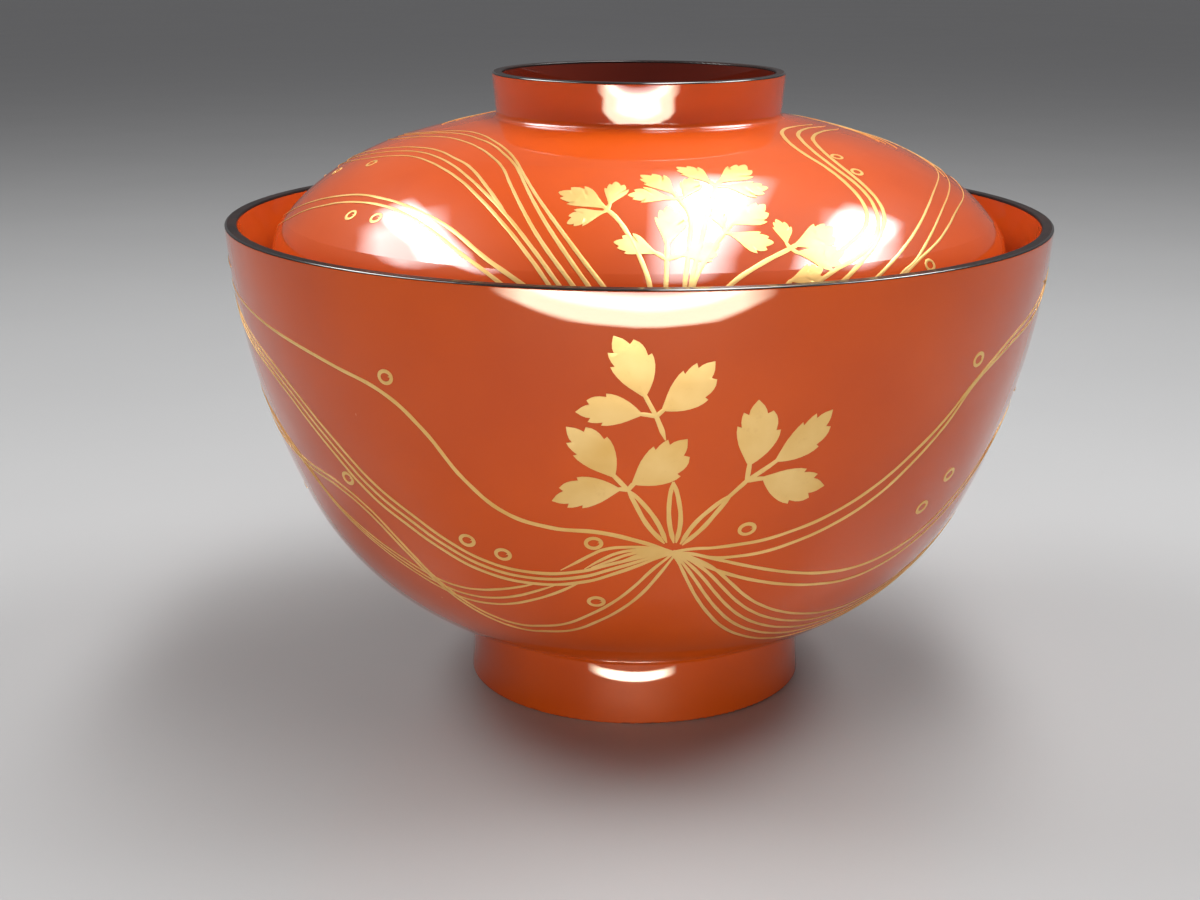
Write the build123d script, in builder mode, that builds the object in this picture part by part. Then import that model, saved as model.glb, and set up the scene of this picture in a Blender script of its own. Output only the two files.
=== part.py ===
from build123d import *
from dataclasses import dataclass, replace
from math import acos, asin, atan2, cos, degrees, hypot, radians, sin, sqrt, tan
import os

# A lacquered wooden soup bowl on a ring foot, with a domed lid that drops inside its lip.
# Millimetres, +Z up, origin at the centre of the foot's standing edge.
# Every piece is turned: a profile in radius and height, revolved about Z.

# Bowl, outside
rim_radius = 60.0
bowl_height = 70.5
rim_lean = 3.6  # degrees from upright at the lip
belly_lean = 72.0  # degrees from upright where the belly meets the foot
belly_share = 0.85  # tangent length of the belly arc over that of the flank arc

# Bowl, inside
lip_thickness = 1.7
cavity_lean = 9.0  # degrees from upright at the lip
cavity_share = 1.0
floor_height = 12.5  # above the table
floor_radius = 14.0  # flat middle of the floor

# Foot
foot_joint_radius = 25.0  # where the belly meets the foot
foot_height = 9.5
foot_flare = 0.4  # how much wider the standing edge is than the joint
foot_thickness = 3.0
recess_depth = 7.0
recess_corner = 1.5

# Lid
seat_drop = 17.1  # from the lip down to the lid's edge
seat_clearance = 0.3  # between the lid's edge and the bowl's wall
lid_wall = 2.6
edge_lean = 1.0  # degrees from upright at the lid's edge
skirt_height = 12.4
skirt_radius = 280.0  # bulge of the skirt, seen in profile
corner_radius = 8.3
corner_lean = 41.3  # degrees from upright where the corner becomes the shoulder
shoulder_radius = 36.0
shoulder_lean = 73.0  # degrees from upright where the shoulder becomes the crown

# Knob ring
knob_base_radius = 20.7
knob_flare = 0.6  # how much wider the top edge is than the base
knob_height = 6.3
knob_thickness = 1.5
knob_sink = 0.6  # how far the floor inside the ring lies below the dome

# Layers
coat = 0.35  # lacquer and its ground
cloth = 0.3
cloth_margin = 1.0  # bare core left beyond a strip of cloth
band_height = 0.35  # lacquer that closes an edge
band_round = 0.25
edge_round = 0.3  # where the outer coat turns over the lip and the knob ring
corner_pool = 0.7  # radius of the lacquer gathered in a sunk corner


def facing(angle):
    """Unit vector in radius and height for a skin that faces an angle above level."""
    return Vector(cos(radians(angle)), sin(radians(angle)))


def along(angle):
    """Unit vector that runs down a skin facing an angle above level."""
    return Vector(sin(radians(angle)), -cos(radians(angle)))


@dataclass
class Arc:
    """Arc of a turned profile, between the angles that its skin faces at its two ends."""

    centre: Vector
    radius: float
    start: float
    end: float

    def point(self, angle, grow=0.0):
        return self.centre + facing(angle) * (self.radius + grow)

    def angle_at_height(self, height, grow=0.0):
        return degrees(asin((height - self.centre.Y) / (self.radius + grow)))

    def angle_at_radius(self, radius, grow=0.0):
        angle = degrees(acos((radius - self.centre.X) / (self.radius + grow)))
        return angle if self.end > self.start else -angle


def arc_on(point, start, radius, end):
    """Arc that leaves a point where the skin faces start, and ends where it faces end."""
    return Arc(point - facing(start) * radius, radius, start, end)


def two_arcs(top, top_angle, bottom, bottom_angle, share):
    """Two tangent arcs down from one point to another, with the angles faced at both ends."""
    span = bottom - top
    leave = along(top_angle)
    arrive = along(bottom_angle)
    square = 2 * share * (leave.dot(arrive) - 1)
    linear = -2 * span.dot(leave + arrive * share)
    upper = (-linear - sqrt(linear**2 - 4 * square * span.dot(span))) / (2 * square)
    lower = upper * share
    shared = bottom - arrive * lower - (top + leave * upper)
    joint_angle = degrees(atan2(shared.X, -shared.Y))
    upper_radius = upper / tan(radians(top_angle - joint_angle) / 2)
    lower_radius = lower / tan(radians(joint_angle - bottom_angle) / 2)
    return [
        arc_on(top, top_angle, upper_radius, joint_angle),
        Arc(bottom - facing(bottom_angle) * lower_radius, lower_radius, joint_angle, bottom_angle),
    ]


def from_height(arcs, height, grow=0.0):
    """The arcs with the first one starting at a height instead."""
    first = replace(arcs[0], start=arcs[0].angle_at_height(height, grow))
    return [first, *arcs[1:]]


def between_heights(arc, start, end, grow=0.0):
    """The stretch of an arc between two heights."""
    return [replace(arc, start=arc.angle_at_height(start, grow), end=arc.angle_at_height(end, grow))]


def out_to_radius(arcs, radius, grow=0.0):
    """The stretch of the arcs that lies farther from the axis than a radius."""
    kept = []
    for arc in arcs:
        if arc.point(arc.end, grow).X >= radius:
            kept.append(arc)
        elif arc.point(arc.start, grow).X > radius:
            kept.append(replace(arc, end=arc.angle_at_radius(radius, grow)))
    return kept


def in_from_radius(arcs, radius, grow=0.0):
    """The stretch of the arcs that lies nearer the axis than a radius."""
    kept = []
    for arc in arcs:
        if arc.point(arc.start, grow).X <= radius:
            kept.append(arc)
        elif arc.point(arc.end, grow).X < radius:
            kept.append(replace(arc, start=arc.angle_at_radius(radius, grow)))
    return kept


def radius_at_height(arcs, height):
    """Radius of a profile that runs down, at a height."""
    arc = next(arc for arc in arcs if arc.point(arc.end).Y <= height)
    return arc.point(arc.angle_at_height(height)).X


def draw(arcs, grow=0.0):
    """Draw arcs, moved away from the axis by grow, and give the first and the last point."""
    for arc in arcs:
        CenterArc(arc.centre, arc.radius + grow, arc.start, arc.end - arc.start)
    return arcs[0].point(arcs[0].start, grow), arcs[-1].point(arcs[-1].end, grow)


def draw_foot(grow=0.0):
    """Draw the side of the foot from its joint to its edge band, and give its two ends."""
    top = Vector(foot_joint_radius + grow, foot_height)
    bottom = Vector(foot_radius_at(band_height) + grow, band_height)
    Line(top, bottom)
    return top, bottom


def draw_recess(grow=0.0):
    """Draw the hollow of the foot from its edge band to the axis, and give its two ends."""
    edge = Vector(recess_radius + grow, band_height)
    corner = Vector(recess_radius - recess_corner, recess_depth - recess_corner)
    wall = Line(edge, (recess_radius + grow, corner.Y))
    bend = CenterArc(corner, recess_corner + grow, 0, 90)
    ceiling = Line(bend @ 1, (0, recess_depth + grow))
    return wall @ 0, ceiling @ 1


def ring_at(edges, radius, height):
    """The round edge nearest a radius and a height."""
    rings = edges.filter_by(GeomType.CIRCLE)
    return min(rings, key=lambda ring: hypot(ring.radius - radius, ring.arc_center.Z - height))


def foot_radius_at(height):
    """Outside radius of the foot at a height."""
    return foot_joint_radius + foot_flare * (1 - height / foot_height)


def knob_radius_at(height):
    """Outside radius of the knob ring at a height."""
    return knob_base_radius + knob_flare * (height - knob_base_height) / knob_height


# Profiles of the finished bowl
rim_point = Vector(rim_radius, bowl_height)
foot_joint = Vector(foot_joint_radius, foot_height)
bowl_skin = two_arcs(rim_point, -rim_lean, foot_joint, -belly_lean, belly_share)
cavity_rim = Vector(rim_radius - lip_thickness, bowl_height)
floor_edge = Vector(floor_radius, floor_height)
cavity = two_arcs(cavity_rim, -cavity_lean, floor_edge, -90, cavity_share)
rim_band_height = bowl_height - band_height
recess_radius = foot_radius_at(0) - foot_thickness

# Profile of the finished lid, from its edge up to the axis
seat_height = bowl_height - seat_drop
lid_radius = radius_at_height(cavity, seat_height) - seat_clearance
skirt_top = seat_height + skirt_height
lid_band_height = seat_height + band_height
skirt = arc_on(Vector(lid_radius, seat_height), edge_lean, skirt_radius, edge_lean)
skirt = replace(skirt, end=skirt.angle_at_height(skirt_top))
corner = arc_on(skirt.point(skirt.end), skirt.end, corner_radius, corner_lean)
shoulder = arc_on(corner.point(corner_lean), corner_lean, shoulder_radius, shoulder_lean)
crown_start = shoulder.point(shoulder_lean)
crown_radius = crown_start.X / cos(radians(shoulder_lean))
crown = arc_on(crown_start, shoulder_lean, crown_radius, 90)
dome = [skirt, corner, shoulder, crown]

# The knob ring stands on the dome, and its floor is the dome sunk a little
knob_foot = out_to_radius(dome, knob_base_radius)[-1]
knob_base_height = knob_foot.point(knob_foot.end).Y
knob_top = knob_base_height + knob_height
knob_band_height = knob_top - band_height
knob_bore_top = knob_radius_at(knob_band_height) - knob_thickness
knob_bore_base = knob_base_radius - knob_thickness
knob_rim = Vector(knob_radius_at(knob_top), knob_top)
knob_rim_back = knob_rim - Vector(coat, 0)
knob_band_back = Vector(knob_radius_at(knob_band_height) - coat, knob_band_height)


with BuildPart() as bowl_outer_coat:
    with BuildSketch(Plane.XZ):
        with BuildLine():
            skin_top, skin_joint = draw(bowl_skin)
            back_top, back_joint = draw(from_height(bowl_skin, bowl_height, -coat), -coat)
            foot_skin_top, foot_skin_edge = draw_foot()
            foot_back_top, foot_back_edge = draw_foot(-coat)
            Line(skin_top, back_top)
            Line(back_joint, foot_back_top)
            Line(foot_skin_edge, foot_back_edge)
        make_face()
    revolve(axis=Axis.Z)
    fillet(ring_at(bowl_outer_coat.edges(), rim_radius, bowl_height), edge_round)
    fillet(ring_at(bowl_outer_coat.edges(), foot_joint_radius, foot_height), corner_pool)
bowl_outer_coat.part.label = "bowl_outer_coat"

with BuildPart() as bowl_inner_coat:
    with BuildSketch(Plane.XZ):
        with BuildLine():
            lining_top, lining_floor = draw(from_height(cavity, rim_band_height))
            back_top, back_floor = draw(from_height(cavity, rim_band_height, coat), coat)
            Line(lining_top, back_top)
            Line(lining_floor, (0, floor_height))
            Line((0, floor_height), (0, floor_height - coat))
            Line((0, floor_height - coat), back_floor)
        make_face()
    revolve(axis=Axis.Z)
bowl_inner_coat.part.label = "bowl_inner_coat"

with BuildPart() as bowl_rim_band:
    with BuildSketch(Plane.XZ):
        with BuildLine():
            outer_stretch = between_heights(bowl_skin[0], bowl_height, rim_band_height, -coat)
            outer_top, outer_foot = draw(outer_stretch, -coat)
            inner_top, inner_foot = draw(between_heights(cavity[0], bowl_height, rim_band_height))
            Line(outer_top, inner_top)
            Line(outer_foot, inner_foot)
        make_face()
    revolve(axis=Axis.Z)
    fillet(ring_at(bowl_rim_band.edges(), cavity_rim.X, bowl_height), band_round)
bowl_rim_band.part.label = "bowl_rim_band"

with BuildPart() as bowl_rim_cloth:
    with BuildSketch(Plane.XZ):
        with BuildLine():
            face_stretch = between_heights(bowl_skin[0], rim_band_height, seat_height, -coat)
            back_stretch = between_heights(bowl_skin[0], rim_band_height, seat_height, -coat - cloth)
            face_top, face_foot = draw(face_stretch, -coat)
            back_top, back_foot = draw(back_stretch, -coat - cloth)
            Line(face_top, back_top)
            Line(face_foot, back_foot)
        make_face()
    revolve(axis=Axis.Z)
bowl_rim_cloth.part.label = "bowl_rim_cloth"

with BuildPart() as bowl_foot_cloth:
    with BuildSketch(Plane.XZ):
        with BuildLine():
            cloth_top = foot_height - cloth_margin
            face_top = Vector(foot_radius_at(cloth_top) - coat, cloth_top)
            face_foot = Vector(foot_radius_at(band_height) - coat, band_height)
            back = Vector(-cloth, 0)
            Polyline(face_top, face_foot, face_foot + back, face_top + back, close=True)
        make_face()
    revolve(axis=Axis.Z)
bowl_foot_cloth.part.label = "bowl_foot_cloth"

with BuildPart() as foot_recess_coat:
    with BuildSketch(Plane.XZ):
        with BuildLine():
            skin_edge, skin_middle = draw_recess()
            back_edge, back_middle = draw_recess(coat)
            Line(skin_edge, back_edge)
            Line(skin_middle, back_middle)
        make_face()
    revolve(axis=Axis.Z)
foot_recess_coat.part.label = "foot_recess_coat"

with BuildPart() as foot_edge_band:
    with BuildSketch(Plane.XZ):
        with BuildLine():
            Polyline(
                (foot_radius_at(0), 0),
                (foot_radius_at(band_height), band_height),
                (recess_radius, band_height),
                (recess_radius, 0),
                close=True,
            )
        make_face()
    revolve(axis=Axis.Z)
    fillet(foot_edge_band.edges().group_by(Axis.Z)[0], band_round)
foot_edge_band.part.label = "foot_edge_band"

with BuildPart() as bowl_core:
    with BuildSketch(Plane.XZ):
        with BuildLine():
            flank_top, flank_joint = draw(from_height(bowl_skin, rim_band_height, -coat), -coat)
            foot_top, foot_edge = draw_foot(-coat)
            hollow_edge, hollow_middle = draw_recess(coat)
            lining_top, lining_floor = draw(from_height(cavity, rim_band_height, coat), coat)
            Line(flank_joint, foot_top)
            Line(foot_edge, hollow_edge)
            Line(hollow_middle, (0, lining_floor.Y))
            Line((0, lining_floor.Y), lining_floor)
            Line(lining_top, flank_top)
        make_face()
    revolve(axis=Axis.Z)
    add(bowl_rim_cloth.part, mode=Mode.SUBTRACT)
    add(bowl_foot_cloth.part, mode=Mode.SUBTRACT)
bowl_core.part.label = "bowl_core"

with BuildPart() as lid_outer_coat:
    with BuildSketch(Plane.XZ):
        with BuildLine():
            ring_back = knob_base_radius - coat
            skin_run = out_to_radius(from_height(dome, lid_band_height), knob_base_radius)
            back_run = out_to_radius(from_height(dome, lid_band_height, -coat), ring_back, -coat)
            skin_edge, skin_ring = draw(skin_run)
            back_edge, back_ring = draw(back_run, -coat)
            Line(skin_edge, back_edge)
            Polyline(skin_ring, knob_rim, knob_rim_back, knob_band_back, back_ring)
        make_face()
    revolve(axis=Axis.Z)
    fillet(ring_at(lid_outer_coat.edges(), knob_base_radius, knob_base_height), corner_pool)
    fillet(ring_at(lid_outer_coat.edges(), knob_rim.X, knob_top), edge_round)
lid_outer_coat.part.label = "lid_outer_coat"

with BuildPart() as lid_inner_coat:
    with BuildSketch(Plane.XZ):
        with BuildLine():
            skin_edge, skin_middle = draw(from_height(dome, lid_band_height, -lid_wall), -lid_wall)
            lining_back = coat - lid_wall
            back_edge, back_middle = draw(from_height(dome, lid_band_height, lining_back), lining_back)
            Line(skin_edge, back_edge)
            Line(skin_middle, back_middle)
        make_face()
    revolve(axis=Axis.Z)
lid_inner_coat.part.label = "lid_inner_coat"

with BuildPart() as lid_rim_band:
    with BuildSketch(Plane.XZ):
        with BuildLine():
            outer_stretch = between_heights(skirt, seat_height, lid_band_height)
            inner_stretch = between_heights(skirt, seat_height, lid_band_height, -lid_wall)
            outer_edge, outer_top = draw(outer_stretch)
            inner_edge, inner_top = draw(inner_stretch, -lid_wall)
            Line(outer_edge, inner_edge)
            Line(outer_top, inner_top)
        make_face()
    revolve(axis=Axis.Z)
    fillet(lid_rim_band.edges().group_by(Axis.Z)[0], band_round)
lid_rim_band.part.label = "lid_rim_band"

with BuildPart() as lid_rim_cloth:
    with BuildSketch(Plane.XZ):
        with BuildLine():
            cloth_top = skirt_top - cloth_margin
            face_stretch = between_heights(skirt, lid_band_height, cloth_top, -coat)
            back_stretch = between_heights(skirt, lid_band_height, cloth_top, -coat - cloth)
            face_edge, face_top = draw(face_stretch, -coat)
            back_edge, back_top = draw(back_stretch, -coat - cloth)
            Line(face_edge, back_edge)
            Line(face_top, back_top)
        make_face()
    revolve(axis=Axis.Z)
lid_rim_cloth.part.label = "lid_rim_cloth"

with BuildPart() as knob_recess_coat:
    with BuildSketch(Plane.XZ):
        with BuildLine():
            back_grow = -knob_sink - coat
            skin_edge, skin_middle = draw(in_from_radius(dome, knob_bore_base, -knob_sink), -knob_sink)
            back_edge, back_middle = draw(in_from_radius(dome, knob_bore_base + coat, back_grow), back_grow)
            bore_top = Vector(knob_bore_top, knob_band_height)
            Line(skin_middle, back_middle)
            Polyline(skin_edge, bore_top, bore_top + Vector(coat, 0), back_edge)
        make_face()
    revolve(axis=Axis.Z)
knob_recess_coat.part.label = "knob_recess_coat"

with BuildPart() as knob_edge_band:
    with BuildSketch(Plane.XZ):
        with BuildLine():
            bore_rim = knob_rim - Vector(knob_thickness, 0)
            bore_top = Vector(knob_bore_top, knob_band_height)
            Polyline(knob_band_back, knob_rim_back, bore_rim, bore_top, close=True)
        make_face()
    revolve(axis=Axis.Z)
    fillet(ring_at(knob_edge_band.edges(), bore_rim.X, knob_top), band_round)
knob_edge_band.part.label = "knob_edge_band"

with BuildPart() as lid_core:
    with BuildSketch(Plane.XZ):
        with BuildLine():
            ring_back = knob_base_radius - coat
            dome_run = out_to_radius(from_height(dome, lid_band_height, -coat), ring_back, -coat)
            dome_edge, dome_ring = draw(dome_run, -coat)
            floor_grow = -knob_sink - coat
            bore_run = in_from_radius(dome, knob_bore_base + coat, floor_grow)
            bore_edge, bore_middle = draw(bore_run, floor_grow)
            lining_grow = coat - lid_wall
            lining_run = from_height(dome, lid_band_height, lining_grow)
            lining_edge, lining_middle = draw(lining_run, lining_grow)
            ring_inner = Vector(knob_bore_top + coat, knob_band_height)
            Line(dome_edge, lining_edge)
            Line(lining_middle, bore_middle)
            Polyline(dome_ring, knob_band_back, ring_inner, bore_edge)
        make_face()
    revolve(axis=Axis.Z)
    add(lid_rim_cloth.part, mode=Mode.SUBTRACT)
lid_core.part.label = "lid_core"


os.makedirs("parts", exist_ok=True)
pieces = [
    bowl_core,
    bowl_rim_cloth,
    bowl_foot_cloth,
    bowl_outer_coat,
    bowl_inner_coat,
    bowl_rim_band,
    foot_recess_coat,
    foot_edge_band,
    lid_core,
    lid_rim_cloth,
    lid_outer_coat,
    lid_inner_coat,
    lid_rim_band,
    knob_recess_coat,
    knob_edge_band,
]
for piece in pieces:
    export_step(piece.part, f"parts/{piece.part.label}.step")
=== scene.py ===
import math
from bisect import bisect

import bmesh
import bpy
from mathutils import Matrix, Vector


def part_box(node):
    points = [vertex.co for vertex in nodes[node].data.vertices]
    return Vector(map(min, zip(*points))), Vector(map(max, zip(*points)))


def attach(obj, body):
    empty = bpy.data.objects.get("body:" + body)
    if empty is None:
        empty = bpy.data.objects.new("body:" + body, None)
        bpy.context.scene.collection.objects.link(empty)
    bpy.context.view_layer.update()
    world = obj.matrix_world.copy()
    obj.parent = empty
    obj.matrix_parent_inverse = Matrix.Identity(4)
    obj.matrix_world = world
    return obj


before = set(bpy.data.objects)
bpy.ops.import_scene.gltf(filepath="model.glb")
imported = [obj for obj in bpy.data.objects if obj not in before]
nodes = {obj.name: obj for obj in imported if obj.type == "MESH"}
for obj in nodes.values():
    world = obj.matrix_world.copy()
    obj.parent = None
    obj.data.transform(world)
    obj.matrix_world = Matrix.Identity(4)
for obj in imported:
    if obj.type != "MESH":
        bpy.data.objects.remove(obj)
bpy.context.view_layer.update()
mm = 0.001
bodyIor = 1.5  # of lacquer, wood, cloth and metal powder alike
noiseSpan = (0.3, 0.7)  # the middle of a noise, which holds most of it
print("frame loaded:", len(nodes), "nodes")


# Helpers for the finishes

def addNode(tree, kind, sockets=None, **options):
    made = tree.nodes.new(kind)
    for option, value in options.items():
        setattr(made, option, value)
    for socket, value in (sockets or {}).items():
        if isinstance(value, bpy.types.NodeSocket):
            tree.links.new(value, made.inputs[socket])
        else:
            made.inputs[socket].default_value = value
    return made


def newFinish(name, **sockets):
    finish = bpy.data.materials.new(name)
    finish.use_nodes = True
    shader = finish.node_tree.nodes["Principled BSDF"]
    for socket, value in sockets.items():
        shader.inputs[socket].default_value = value
    where = addNode(finish.node_tree, "ShaderNodeTexCoord").outputs["Object"]
    return finish, finish.node_tree, shader, where


def noise(tree, where, size, detail=2, rough=0.5, stretch=None):
    if stretch:
        where = addNode(tree, "ShaderNodeMapping", {"Vector": where, "Scale": stretch}).outputs["Vector"]
    sockets = {"Vector": where, "Scale": 1 / size, "Detail": detail, "Roughness": rough}
    return addNode(tree, "ShaderNodeTexNoise", sockets).outputs["Fac"]


def math2(tree, operation, first, second):
    return addNode(tree, "ShaderNodeMath", {0: first, 1: second}, operation=operation).outputs[0]


def spread(tree, source, low, high, toLow=0.0, toHigh=1.0):
    sockets = {"Value": source, "From Min": low, "From Max": high, "To Min": toLow, "To Max": toHigh}
    return addNode(tree, "ShaderNodeMapRange", sockets, clamp=True).outputs["Result"]


def mixColour(tree, share, first, second):
    mixed = addNode(tree, "ShaderNodeMix", data_type="RGBA")
    for socket, value in ((0, share), (6, first), (7, second)):
        if isinstance(value, bpy.types.NodeSocket):
            tree.links.new(value, mixed.inputs[socket])
        else:
            mixed.inputs[socket].default_value = value
    return mixed.outputs[2]


def flecks(tree, where, look):  # specks caught under the last coat, a little longer than wide
    turned = {"Vector": where, "Rotation": look["lean"], "Scale": look["stretch"]}
    leaning = addNode(tree, "ShaderNodeMapping", turned).outputs["Vector"]
    cells = addNode(tree, "ShaderNodeTexVoronoi", {"Vector": leaning, "Scale": 1 / look["spacing"]})
    dots = spread(tree, cells.outputs["Distance"], look["core"], look["radius"], 1, 0)
    chosen = addNode(tree, "ShaderNodeSeparateColor", {"Color": cells.outputs["Color"]}).outputs["Red"]
    return math2(tree, "MULTIPLY", dots, math2(tree, "GREATER_THAN", chosen, 1 - look["share"]))


def bump(tree, height, distance, below=None):
    sockets = {"Height": height, "Distance": distance, "Strength": 1.0}
    if below:
        sockets["Normal"] = below
    return addNode(tree, "ShaderNodeBump", sockets).outputs["Normal"]


# Lacquer

fleckLook = {
    "lean": (0.5, 0.3, 0.2),
    "stretch": (1, 1, 0.4),
    "spacing": 5 * mm,
    "core": 0.0192,  # as a share of the spacing, like the radius
    "radius": 0.032,
    "share": 0.14,
}


def makeLacquer(name, look):
    finish, tree, shader, where = newFinish(name, IOR=bodyIor, **{
        "Specular IOR Level": look["underShine"], "Coat Weight": look["coat"],
        "Coat Roughness": look["polish"], "Coat IOR": look["coatIor"]})
    cloud = noise(tree, where, look["cloudSize"], detail=3)
    colour = mixColour(tree, spread(tree, cloud, *noiseSpan), look["deep"], look["bright"])
    specks = flecks(tree, where, fleckLook)
    speckShare = math2(tree, "MULTIPLY", specks, look["speckShow"])
    colour = mixColour(tree, speckShare, colour, look["speckColour"])
    height = addNode(tree, "ShaderNodeSeparateXYZ", {"Vector": where}).outputs["Z"]
    inReach = spread(tree, height, *look["rubHeight"], 1, 0)
    wear = noise(tree, where, look["rubGrain"], detail=4, rough=0.7)
    rubbed = math2(tree, "MULTIPLY", inReach, spread(tree, wear, *look["rubSpan"]))
    rubShare = math2(tree, "MULTIPLY", rubbed, look["rubShow"])
    colour = mixColour(tree, rubShare, colour, look["rubColour"])
    atEdge = spread(tree, height, look["edgeAbove"] - look["edgeBlur"], look["edgeAbove"])
    colour = mixColour(tree, atEdge, colour, look["edgeColour"])
    tree.links.new(colour, shader.inputs["Base Color"])
    haze = spread(tree, noise(tree, where, look["hazeSize"], detail=4), *noiseSpan, *look["haze"])
    rubHaze = math2(tree, "MULTIPLY", rubbed, look["rubHaze"])
    tree.links.new(math2(tree, "ADD", haze, rubHaze), shader.inputs["Roughness"])
    ripple = bump(tree, noise(tree, where, look["rippleSize"], detail=1), look["rippleHeight"])
    speckled = bump(tree, specks, look["speckHeight"], ripple)
    tree.links.new(speckled, shader.inputs["Normal"])
    tree.links.new(speckled, shader.inputs["Coat Normal"])
    return finish


redLook = {
    "deep": (0.5, 0.058, 0.001, 1),
    "bright": (0.59, 0.077, 0.002, 1),
    "cloudSize": 26 * mm,
    "coat": 1.0,
    "coatIor": 1.4,
    "polish": 0.02,
    "underShine": 0.05,
    "hazeSize": 9 * mm,
    "haze": (0.37, 0.47),  # roughness under the clear coat
    "rippleSize": 11 * mm,
    "rippleHeight": 0.012 * mm,
    "speckColour": (0.75, 0.3, 0.13, 1),
    "speckShow": 0.6,
    "speckHeight": 0.003 * mm,
    "rubHeight": (-2 * mm, -1 * mm),  # rubbed below these heights, such as at the foot's edge
    "rubColour": (0.2, 0.03, 0.01, 1),
    "rubGrain": 2.2 * mm,
    "rubSpan": (0.5, 0.62),
    "rubShow": 0.7,
    "rubHaze": 0.2,
    "edgeAbove": 1.0,  # metres: a height that no piece reaches, unless it is set to a coat's own edge
    "edgeBlur": 0.04 * mm,
    "edgeColour": (0.01, 0.006, 0.005, 1),
}
edgeLine = 0.22 * mm  # how far the black of an edge comes down the outside
bowlRedLook = dict(redLook, edgeAbove=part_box("bowl_outer_coat")[1].z - edgeLine)
lidRedLook = dict(redLook, edgeAbove=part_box("lid_outer_coat")[1].z - edgeLine)
liningLook = dict(redLook, deep=(0.42, 0.048, 0.002, 1), bright=(0.5, 0.068, 0.004, 1), polish=0.03)
footEdgeLook = dict(redLook, polish=0.06, rubHeight=(0.2 * mm, 0.6 * mm))
# the knob's hollow is the same vermilion painted far darker: painted shade in the recess
knobHollowShadeLook = dict(redLook, deep=(0.1, 0.008, 0.002, 1), bright=(0.14, 0.014, 0.003, 1))
blackLook = dict(
    redLook, deep=(0.006, 0.004, 0.004, 1), bright=(0.02, 0.008, 0.006, 1), cloudSize=5 * mm,
    speckColour=(0.08, 0.05, 0.04, 1), coat=0.3, coatIor=1.3)

bowlLacquer = makeLacquer("vermilion_lacquer_bowl", bowlRedLook)
lidLacquer = makeLacquer("vermilion_lacquer_lid", lidRedLook)
liningLacquer = makeLacquer("vermilion_lacquer_lining", liningLook)
knobHollowShadeLacquer = makeLacquer("vermilion_lacquer_painted_shade", knobHollowShadeLook)
footEdgeLacquer = makeLacquer("vermilion_lacquer_scuffed", footEdgeLook)
blackLacquer = makeLacquer("black_lacquer_edge", blackLook)


# Wood, cloth and gold

woodLook = {
    "early": (0.62, 0.44, 0.25, 1),
    "late": (0.42, 0.26, 0.13, 1),
    "heart": (0, 60 * mm, -20 * mm),  # moves the middle of the rings off the axis
    "rings": {"Scale": 0.3 / (2.6 * mm), "Distortion": 2.2, "Detail": 3, "Detail Scale": 0.8},
    "poreSize": 0.5 * mm,
    "poreStretch": (0.12, 1, 1),
    "poreSpan": (0.56, 0.7),
    "poreShade": (0, 0.6),
    "poreDepth": 0.05 * mm,
    "rough": (0.55, 0.75),
}


def makeTurnedWood(look):
    finish, tree, shader, where = newFinish("turned_wood_bare", IOR=bodyIor)
    turned = addNode(tree, "ShaderNodeMapping", {"Vector": where, "Location": look["heart"]})
    sockets = {"Vector": turned.outputs["Vector"], **look["rings"]}
    waves = addNode(tree, "ShaderNodeTexWave", sockets, wave_type="RINGS", rings_direction="X")
    rings = waves.outputs["Fac"]
    pores = noise(tree, where, look["poreSize"], detail=3, rough=0.6, stretch=look["poreStretch"])
    colour = mixColour(tree, rings, look["early"], look["late"])
    dark = spread(tree, pores, *look["poreSpan"], *look["poreShade"])
    tree.links.new(mixColour(tree, dark, colour, look["late"]), shader.inputs["Base Color"])
    tree.links.new(spread(tree, rings, 0, 1, *look["rough"]), shader.inputs["Roughness"])
    tree.links.new(bump(tree, pores, look["poreDepth"]), shader.inputs["Normal"])
    return finish


clothLook = {
    "thread": (0.5, 0.41, 0.28, 1),
    "soaked": (0.16, 0.09, 0.05, 1),
    "pitch": 0.9 * mm,
    "threads": 420,  # threads round the strip
    "weaveSpan": (-0.8, 0.8),
    "weaveHeight": 0.12 * mm,
    "slubSize": 3 * mm,
    "slubStretch": (1, 1, 0.3),
    "slubSpan": (0.3, 0.6),
    "slubShade": (0.5, 1),
    "rough": (0.5, 0.85),
}


def makeHempCloth(look):
    finish, tree, shader, where = newFinish("hemp_cloth_woven", IOR=bodyIor)
    parts = addNode(tree, "ShaderNodeSeparateXYZ", {"Vector": where})
    turn = math2(tree, "ARCTAN2", parts.outputs["X"], parts.outputs["Y"])
    upright = math2(tree, "SINE", math2(tree, "MULTIPLY", turn, look["threads"] / 2), 0)
    level = math2(tree, "SINE", math2(tree, "MULTIPLY", parts.outputs["Z"], math.pi / look["pitch"]), 0)
    weave = spread(tree, math2(tree, "MULTIPLY", upright, level), *look["weaveSpan"])
    slub = noise(tree, where, look["slubSize"], detail=3, rough=0.6, stretch=look["slubStretch"])
    shade = math2(tree, "MULTIPLY", weave, spread(tree, slub, *look["slubSpan"], *look["slubShade"]))
    tree.links.new(mixColour(tree, shade, look["soaked"], look["thread"]), shader.inputs["Base Color"])
    tree.links.new(spread(tree, weave, 0, 1, *look["rough"]), shader.inputs["Roughness"])
    tree.links.new(bump(tree, weave, look["weaveHeight"]), shader.inputs["Normal"])
    return finish


goldLook = {
    "pale": (0.93, 0.625, 0.235, 1),
    "deep": (0.8, 0.48, 0.135, 1),
    "worn": (0.62, 0.27, 0.08, 1),
    "metal": 0.6,  # the rest scatters, as loose powder does
    "rough": (0.3, 0.46),
    "grainSize": 0.14 * mm,
    "grainHeight": 0.006 * mm,
    "patchSize": 7 * mm,
    "thinSize": 1.6 * mm,
    "thinSpan": (0.6, 0.72),
    "thinShow": (0, 0.2),
}


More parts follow.
